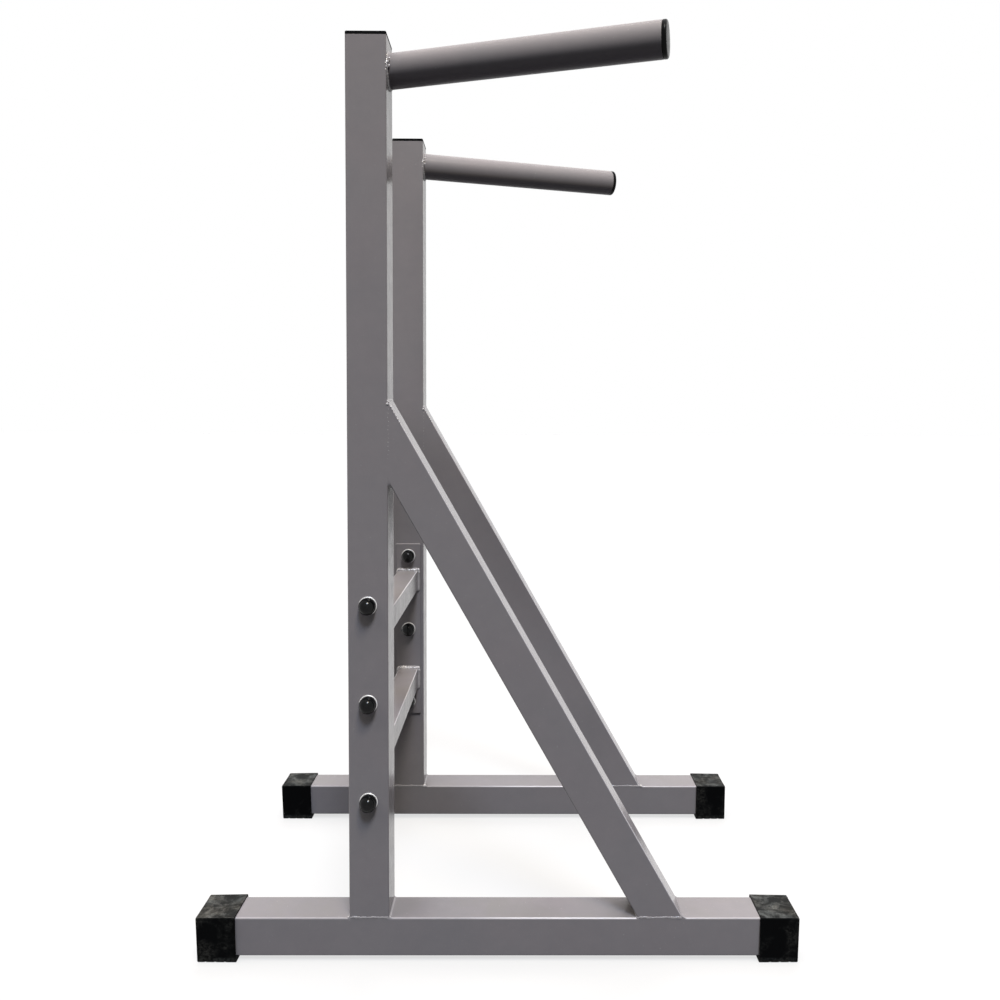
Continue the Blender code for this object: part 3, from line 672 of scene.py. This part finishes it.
def arm(side_name, side):
    y = side * FRAME_Y
    along = Vector((math.cos(ARM_SPLAY), side * math.sin(ARM_SPLAY), 0))
    level = Vector((-side * math.sin(ARM_SPLAY), math.cos(ARM_SPLAY), 0))
    root = Vector((FRONT_FACE, y, ARM_HEIGHT))
    lip = 0.0012
    sections = [(share * ARM_LENGTH, 0.0) for share in (0.1, 0.3, 0.5, 0.7, 0.9)]
    for step in range(5):
        turn = step / 4 * math.pi / 2
        sections.append((ARM_LENGTH - lip + lip * math.sin(turn), lip - lip * math.cos(turn)))
    rings = [[]]
    for across, high in circle(ARM_RADIUS, 96):
        foot = root + level * across + UP * high
        rings[0].append(foot + along * ((FRONT_FACE - foot.x) / along.x))
    for distance, inset in sections:
        centre = root + along * distance
        rings.append([centre + level * a + UP * b for a, b in circle(ARM_RADIUS - inset, 96)])
    grip = loft(rings)
    path = []
    for across, high in circle(ARM_RADIUS, 180):
        foot = root + level * across + UP * high
        place = foot + along * ((FRONT_FACE - foot.x) / along.x)
        off = (level * across + UP * high).normalized()
        path.append((place, (off + FORWARD).normalized()))
    weld = bead(path, True, 0.0031, 0.0026, 0.0042, 0.30, 0.20, 2.0 + side)
    # Near-white drops by the arm's root weld: painted glints on spatter.
    spatter = (
        (0.0043, 0.0083, 0.0017),
        (0.0025, 0.0035, 0.0013),
        (-0.0010, 0.0016, 0.0016),
        (0.0039, -0.0024, 0.0017),
        (-0.0001, -0.0035, 0.0011),
        (-0.0010, -0.0080, 0.0012),
    )
    spots = [(FRONT_FACE + x, ARM_HEIGHT + z, radius) for x, z, radius in spatter]
    bright = drops(y - TUBE / 2 + 0.0006, spots)
    node = f"arm_{side_name}"
    piece(f"grip_{side_name}", [grip], "frame_paint", [node], finish=ARM_PAINT, welds=[weld], bright=bright)
    place = Matrix.Translation(root + along * ARM_LENGTH) @ along.to_track_quat("Z", "Y").to_matrix().to_4x4()
    rim = 0.0068
    edge = 0.0030
    crown = 0.0012
    neck = ARM_RADIUS - 0.004
    profile = [(0.0, -0.004), (neck, -0.004), (neck, 0.0), (ARM_RADIUS - 0.0008, 0.0), (ARM_RADIUS, 0.0007)]
    for step in range(9):
        turn = step / 8 * math.pi / 2
        profile.append((ARM_RADIUS - edge + edge * math.cos(turn), rim - edge + edge * math.sin(turn)))
    for step in range(1, 9):
        share = step / 8
        profile.append(((ARM_RADIUS - edge) * (1 - share), rim + crown * (1 - (1 - share) ** 2)))
    piece(f"button_{side_name}", [lathe(profile, 96, place)], "plug_plastic", [f"arm_plug_{side_name}"])


def top_plug(side_name, side):
    """The square plug's plate, with a soft edge and a slight crown."""
    y = side * FRAME_Y
    rear = REAR_FACE[side_name]
    edge = 0.0018
    high = 0.0056
    levels = [(0.003, -0.002), (0.003, 0.0), (0.0003, 0.0), (0.0, 0.0004)]
    for step in range(7):
        turn = step / 6 * math.pi / 2
        levels.append((edge - edge * math.cos(turn), high - edge - 0.0002 + edge * math.sin(turn)))
    levels += [(0.006, high - 0.00008), (0.016, high), (0.028, high)]
    rings = []
    for inset, level in levels:
        corner = max(CORNER - inset, 0.0006)
        outline = rounded_rectangle(FRONT_FACE - rear - 2 * inset, TUBE - 2 * inset, corner)
        rings.append([Vector(((FRONT_FACE + rear) / 2 + a, y + b, UPRIGHT_TOP + level)) for a, b in outline])
    node = f"upright_plug_{side_name}"
    piece(f"lid_{side_name}", [loft(rings)], "plug_plastic", [node], finish=LID_PLASTIC)


def boot(side_name, side, end_name, end, drag):
    """A rubber boot with soft moulded edges, a wall that shows round its mouth and a grooved sole.

    drag is how far its foot has been pushed inward on the rail.
    """
    y = side * FRAME_Y
    closed_end = RAIL_HALF + SEAT_GAP + BOOT_END_WALL
    mouth = closed_end - BOOT_LENGTH
    draft = 0.0006
    edge = 0.0016
    lip = 0.0007

    def outline_of(wide, high, corner, ridge):
        """Round-cornered outline, with the tube's corners showing as two low ridges on top."""
        points = rounded_rectangle(wide, high, corner, 7)
        top = []
        for inset, lift in ((0.0042, 0.0), (0.0052, 0.6), (0.0060, 1.0), (0.0070, 0.5), (0.0085, 0.0)):
            top.append((wide / 2 - inset, high / 2 + ridge * lift))
        middle = [(0.010, high / 2), (-0.010, high / 2)]
        mirrored = [(-a, b) for a, b in reversed(top)]
        return points[:8] + top + middle + mirrored + points[8:]

    def outer_ring(distance, inset):
        """An outline of the outside, at a distance from the mouth."""
        share = distance / BOOT_LENGTH
        wide = BOOT_WIDTH - 2 * draft * share - 2 * inset
        high = BOOT_HEIGHT - draft * share - 2 * inset
        ridge = 0.00045 if inset < 0.001 else 0.0
        outline = outline_of(wide, high, max(0.0022 - inset * 0.6, 0.0006), ridge)
        middle = inset + high / 2
        ring = []
        for a, b in outline:
            lean = drag * (1 - (middle + b) / BOOT_HEIGHT)
            ring.append(Vector((end * (mouth + distance - lean), y + a, middle + b)))
        return ring

    def inner_ring(distance):
        """An outline of the inside, which fits the rail."""
        size = TUBE + 2 * SEAT_GAP
        outline = outline_of(size, size, CORNER, 0.0)
        return [Vector((end * (mouth + distance), y + a, RAIL_MIDDLE + b)) for a, b in outline]

    rings = [outer_ring(BOOT_LENGTH, 0.012)]
    for step in range(7):
        turn = step / 6 * math.pi / 2
        distance = BOOT_LENGTH - edge + edge * math.cos(turn)
        rings.append(outer_ring(distance, edge - edge * math.sin(turn)))
    for share in (0.9, 0.7, 0.5, 0.3, 0.1):
        rings.append(outer_ring((BOOT_LENGTH - edge) * share, 0.0))
    for step in range(4):
        turn = step / 3 * math.pi / 2
        rings.append(outer_ring(lip - lip * math.sin(turn), lip - lip * math.cos(turn)))
    rings += [inner_ring(distance) for distance in (0.0, 0.006, BOOT_LENGTH - BOOT_END_WALL)]
    name = f"boot_{end_name}_{side_name}"
    shell = piece(f"{name}_skin", [loft(rings)], "boot_rubber", [name], 50.0)
    for number in range(3):
        x = end * (closed_end - BOOT_LENGTH / 2) + (number - 1) * BOOT_LENGTH / 4
        place = Matrix.Translation((x, y, 0.0)) @ Matrix.Rotation(math.pi / 2, 4, "X")
        groove = 0.0017
        past = 0.05
        profile = [(0.0, -past), (groove, -past), (groove, past), (0.0, past)]
        points, faces = lathe(profile, 20, place)
        cut_mesh = bpy.data.meshes.new("groove")
        cut_mesh.from_pydata(points, [], faces)
        heal(cut_mesh)
        cut(shell, cut_mesh)
    heal(shell.data)


def cut(obj, mesh):
    """Cuts a mesh out of a piece and applies the cut."""
    cutter = bpy.data.objects.new("cutter", mesh)
    bpy.context.scene.collection.objects.link(cutter)
    modifier = obj.modifiers.new("cut", "BOOLEAN")
    modifier.operation = "DIFFERENCE"
    modifier.solver = "EXACT"
    modifier.object = cutter
    obj.modifiers.move(len(obj.modifiers) - 1, 0)
    with bpy.context.temp_override(object=obj, active_object=obj):
        bpy.ops.object.modifier_apply(modifier="cut")
    bpy.data.objects.remove(cutter)


# Ladder


def crossbar(node, height):
    bar = prism(
        rounded_rectangle(CROSSBAR, CROSSBAR, CROSSBAR_CORNER),
        Vector((UPRIGHT_X, 0.0, height)),
        FORWARD,
        UP,
        ACROSS,
        lambda foot, b: -PLATE_FACE + 0.0002,
        lambda foot, b: PLATE_FACE - 0.0002,
        6,
    )
    wide = CROSSBAR + 0.0004
    bend = 0.0028
    flat = CROSSBAR / 2 - bend
    welds = []
    bright = []
    for side in (-1, 1):
        path = []
        for a, b in rounded_rectangle(wide, wide, bend, 8):
            off = Vector((a - max(min(a, flat), -flat), 0, b - max(min(b, flat), -flat))).normalized()
            outward = (off - ACROSS * side).normalized()
            path.append((Vector((UPRIGHT_X + a, side * PLATE_FACE, height + b)), outward))
        welds.append(bead(path, True, 0.0050, 0.0042, 0.0058, 0.10, 0.12, height * 10 + side))
        # The bead's top run and a few blobs are drawn again near-white: painted highlight along the weld's
        # top.
        top = sorted((spot for spot in path if spot[1].z > 0.35), key=lambda spot: spot[0].x)
        bright.append(bead(top, False, 0.0051, 0.0044, 0.0058, 0.28, 0.22, height * 10 + side))
    blobs = ((0.0206, 0.0216, 0.0036), (0.0222, 0.0168, 0.0026), (-0.0195, 0.0215, 0.0026))
    spots = [(UPRIGHT_X + x, height + z, radius) for x, z, radius in blobs]
    bright += drops(PLATE_FACE - 0.0030, spots)
    piece(f"{node}_tube", [bar], "frame_paint", [node], finish=BAR_PAINT, welds=welds, bright=bright)


def flange_plate(side_name, side):
    soft_edge = ((0.0010, 0.0), (0.0003, 0.0003), (0.0, 0.0010))
    other_edge = ((0.0, 0.0030), (0.0003, 0.0037), (0.0010, 0.004))
    rings = []
    for inset, depth in soft_edge + other_edge:
        outline = rounded_rectangle(PLATE_WIDTH - 2 * inset, PLATE_LENGTH - 2 * inset, PLATE_CORNER)
        y = side * (PLATE_FACE + 0.0001 + depth)
        rings.append([Vector((UPRIGHT_X + a, y, LADDER_HEIGHT + b)) for a, b in outline])
    piece(f"plate_{side_name}", [loft(rings)], "frame_paint", [f"flange_plate_{side_name}"])


# Fasteners


def dome(place):
    """A dome cap's outside, and the shallow recess in its mouth."""
    radius = 0.01306
    skirt = 0.0051
    profile = [(0.0, 0.004), (0.0116, 0.004), (0.0118, 0.0), (radius - 0.0003, 0.0), (radius, 0.0003)]
    for step in range(17):
        turn = step / 16 * math.pi / 2
        profile.append((radius * math.cos(turn) if step < 16 else 0.0, skirt + radius * math.sin(turn)))
    return lathe(profile, 64, place)


def ring_washer(place):
    """A washer with soft edges."""
    edge = 0.0008
    outside = 0.014
    inside = 0.0065
    high = WASHER_HEIGHT
    rings = []
    section = [(inside + edge, 0.0), (outside - edge, 0.0), (outside, edge), (outside, high - edge)]
    section += [(outside - edge, high), (inside + edge, high), (inside, high - edge), (inside, edge)]
    for radius, level in section:
        rings.append([place @ Vector((x, y, level)) for x, y in circle(radius, 64)])
    return loft(rings, True)


def bolt_pieces(side_name, side, number, height):
    height += BOLT_LIFTS[side_name][number - 1]
    for place_name, y, outward in (("outer", FRAME_Y + TUBE / 2, 1), ("inner", PLATE_FACE, -1)):
        turn = Matrix.Rotation(-side * outward * math.pi / 2, 4, "X")
        seat = Matrix.Translation((UPRIGHT_X + BOLT_SHIFT, side * y, height)) @ turn
        gap = SEAT_GAP if outward > 0 else 0.0
        washer_place = seat @ Matrix.Translation((0, 0, gap))
        cap_place = seat @ Matrix.Translation((0, 0, gap + WASHER_HEIGHT + 0.0001))
        tag = f"{place_name}_{side_name}_{number}"
        node = f"{side_name}_{number}"
        washer = ring_washer(washer_place)
        piece(f"washer_{tag}", [washer], "zinc_plate", [f"{place_name}_washer_{node}"], 50.0)
        piece(f"dome_{tag}", [dome(cap_place)], "cap_plastic", [f"{place_name}_cap_{node}"], 50.0)


def build():
    for side_name, side in SIDES.items():
        base_rail(side_name, side)
        upright(side_name, side)
        brace(side_name, side)
        arm(side_name, side)
        top_plug(side_name, side)
        flange_plate(side_name, side)
        boot(side_name, side, "front", 1, BOOT_DRAG["front", side_name])
        boot(side_name, side, "rear", -1, BOOT_DRAG["rear", side_name])
        for number, height in enumerate(BOLT_HEIGHTS, 1):
            bolt_pieces(side_name, side, number, height)
    for node, height in CROSSBAR_HEIGHTS.items():
        crossbar(node, height)
    for name, node in frame["nodes"].items():
        if name.startswith(("bolt", "nut")):
            node.data.materials.clear()
            node.data.materials.append(ZINC)


# Stage


def white_for_view(tree):
    """1 for the rays that show the background: straight, mirrored or passing through."""
    paths = tree.nodes.new("ShaderNodeLightPath")
    total = paths.outputs["Is Camera Ray"]
    for kind in ("Is Glossy Ray", "Is Transmission Ray"):
        node = tree.nodes.new("ShaderNodeMath")
        node.operation = "MAXIMUM"
        tree.links.new(total, node.inputs[0])
        tree.links.new(paths.outputs[kind], node.inputs[1])
        total = node.outputs[0]
    return total


def mix_for_view(tree, unseen, shown, out):
    """Gives the rays that show the background one shader, and the rays that only light things another."""
    mix = tree.nodes.new("ShaderNodeMixShader")
    tree.links.new(white_for_view(tree), mix.inputs["Fac"])
    tree.links.new(unseen.outputs[0], mix.inputs[1])
    tree.links.new(shown.outputs[0], mix.inputs[2])
    tree.links.new(mix.outputs[0], out.inputs["Surface"])


def set_world():
    """Soft light that is brightest from above, and plain white where it shows."""
    world = bpy.data.worlds.new("studio")
    world.use_nodes = True
    tree = world.node_tree
    tree.nodes.clear()
    place = tree.nodes.new("ShaderNodeTexCoord")
    parts = tree.nodes.new("ShaderNodeSeparateXYZ")
    rise = tree.nodes.new("ShaderNodeMapRange")
    for key, number in (("From Min", 0.0), ("From Max", 1.0), ("To Min", 0.14), ("To Max", 0.38)):
        rise.inputs[key].default_value = number
    light = tree.nodes.new("ShaderNodeBackground")
    light.inputs["Color"].default_value = (0.985, 0.985, 1.0, 1.0)
    white = tree.nodes.new("ShaderNodeBackground")
    white.inputs["Color"].default_value = (1.0, 1.0, 1.0, 1.0)
    white.inputs["Strength"].default_value = 1.0
    tree.links.new(place.outputs["Generated"], parts.inputs[0])
    tree.links.new(parts.outputs["Z"], rise.inputs["Value"])
    tree.links.new(rise.outputs["Result"], light.inputs["Strength"])
    mix_for_view(tree, light, white, tree.nodes.new("ShaderNodeOutputWorld"))
    bpy.context.scene.world = world


def set_floor():
    """A plain floor that is white in view and keeps a soft shadow, but throws little light up."""
    material = bpy.data.materials.new("floor")
    material.use_nodes = True
    tree = material.node_tree
    tree.nodes.clear()
    lit = tree.nodes.new("ShaderNodeBsdfDiffuse")
    lit.inputs["Color"].default_value = (0.40, 0.40, 0.40, 1.0)
    glow = tree.nodes.new("ShaderNodeEmission")
    glow.inputs["Color"].default_value = (1.0, 1.0, 1.0, 1.0)
    glow.inputs["Strength"].default_value = 1.0
    shown = tree.nodes.new("ShaderNodeMixShader")
    shown.inputs["Fac"].default_value = 0.70
    unseen = tree.nodes.new("ShaderNodeBsdfDiffuse")
    unseen.inputs["Color"].default_value = (0.027, 0.027, 0.031, 1.0)
    tree.links.new(lit.outputs[0], shown.inputs[1])
    tree.links.new(glow.outputs[0], shown.inputs[2])
    mix_for_view(tree, unseen, shown, tree.nodes.new("ShaderNodeOutputMaterial"))
    mesh = bpy.data.meshes.new("floor")
    reach = 60.0
    corners = [(-reach, -reach, 0), (reach, -reach, 0), (reach, reach, 0), (-reach, reach, 0)]
    mesh.from_pydata(corners, [], [(0, 1, 2, 3)])
    mesh.materials.append(material)
    floor = bpy.data.objects.new("floor", mesh)
    floor.location.z = -0.0005
    bpy.context.scene.collection.objects.link(floor)


def aim(obj, place, target):
    """Puts a lamp at a place, turned to a target."""
    obj.location = place
    obj.rotation_euler = (Vector(target) - Vector(place)).to_track_quat("-Z", "Y").to_euler()


def add_light(name, kind, place, target, energy, size, colour, mirrored=True):
    """A sun, whose size is its angle in degrees, or a square softbox, whose size is its side."""
    lamp = bpy.data.lights.new(name, kind)
    lamp.energy = energy
    lamp.color = colour
    if kind == "SUN":
        lamp.angle = math.radians(size)
    else:
        lamp.size = size
    obj = bpy.data.objects.new(name, lamp)
    obj.visible_glossy = mirrored
    bpy.context.scene.collection.objects.link(obj)
    aim(obj, place, target)


def set_lights():
    """A lit studio: the two lamps that show in the paint, and soft ones that don't."""
    warm = (1.0, 0.89, 0.70)
    soft = (1.0, 0.91, 0.88)
    cool = (0.72, 0.82, 1.0)
    add_light("ceiling", "SUN", (0.0, 0.10, 1.0), (0, 0, 0), 2.85, 60, soft, False)
    add_light("key", "AREA", (0.6, -1.9, 3.8), (-0.05, 0.0, 0.6), 93, 0.7, warm)
    add_light("high_sun", "SUN", (0.18, -1.0, 1.45), (0, 0, 0), 2.65, 13, cool)
    add_light("rear_sun", "SUN", (0.1, 1.0, 1.3), (0, 0, 0), 2.0, 40, (0.97, 0.97, 1.0), False)
    add_light("left_sun", "SUN", (-1.0, -0.14, 1.2), (0, 0, 0), 1.85, 40, (1.0, 0.93, 0.80), False)
    add_light("arm_box", "AREA", (0.30, -0.05, 2.75), (0.0, 0.0, 1.0), 13, 0.38, (1.0, 0.89, 0.74), False)


def set_camera():
    """The photo's viewpoint, fitted to the stand's edges."""
    place = (0.03035, -1.55408, 0.82745)
    photo_width = 1000
    focal_pixels = 858.1
    sensor = 36
    tilt = math.radians(2.52)
    yaw = math.radians(-0.31)
    roll = math.radians(0.20)
    right = Vector((math.cos(yaw), math.sin(yaw), 0))
    forward = Vector((-math.sin(yaw) * math.cos(tilt), math.cos(yaw) * math.cos(tilt), -math.sin(tilt)))
    up = right.cross(forward)
    level, plumb = right, up
    right = level * math.cos(roll) + plumb * math.sin(roll)
    up = plumb * math.cos(roll) - level * math.sin(roll)
    camera = bpy.data.cameras.new("camera")
    camera.sensor_width = sensor
    camera.lens = focal_pixels / photo_width * sensor
    camera.shift_x = -0.02401
    camera.shift_y = -0.03945
    obj = bpy.data.objects.new("camera", camera)
    bpy.context.scene.collection.objects.link(obj)
    turn = Matrix((right, up, -forward)).transposed().to_4x4()
    obj.matrix_world = Matrix.Translation(place) @ turn
    bpy.context.scene.camera = obj


build()
set_world()
set_floor()
set_lights()
set_camera()
bpy.context.scene.view_settings.view_transform = "Standard"
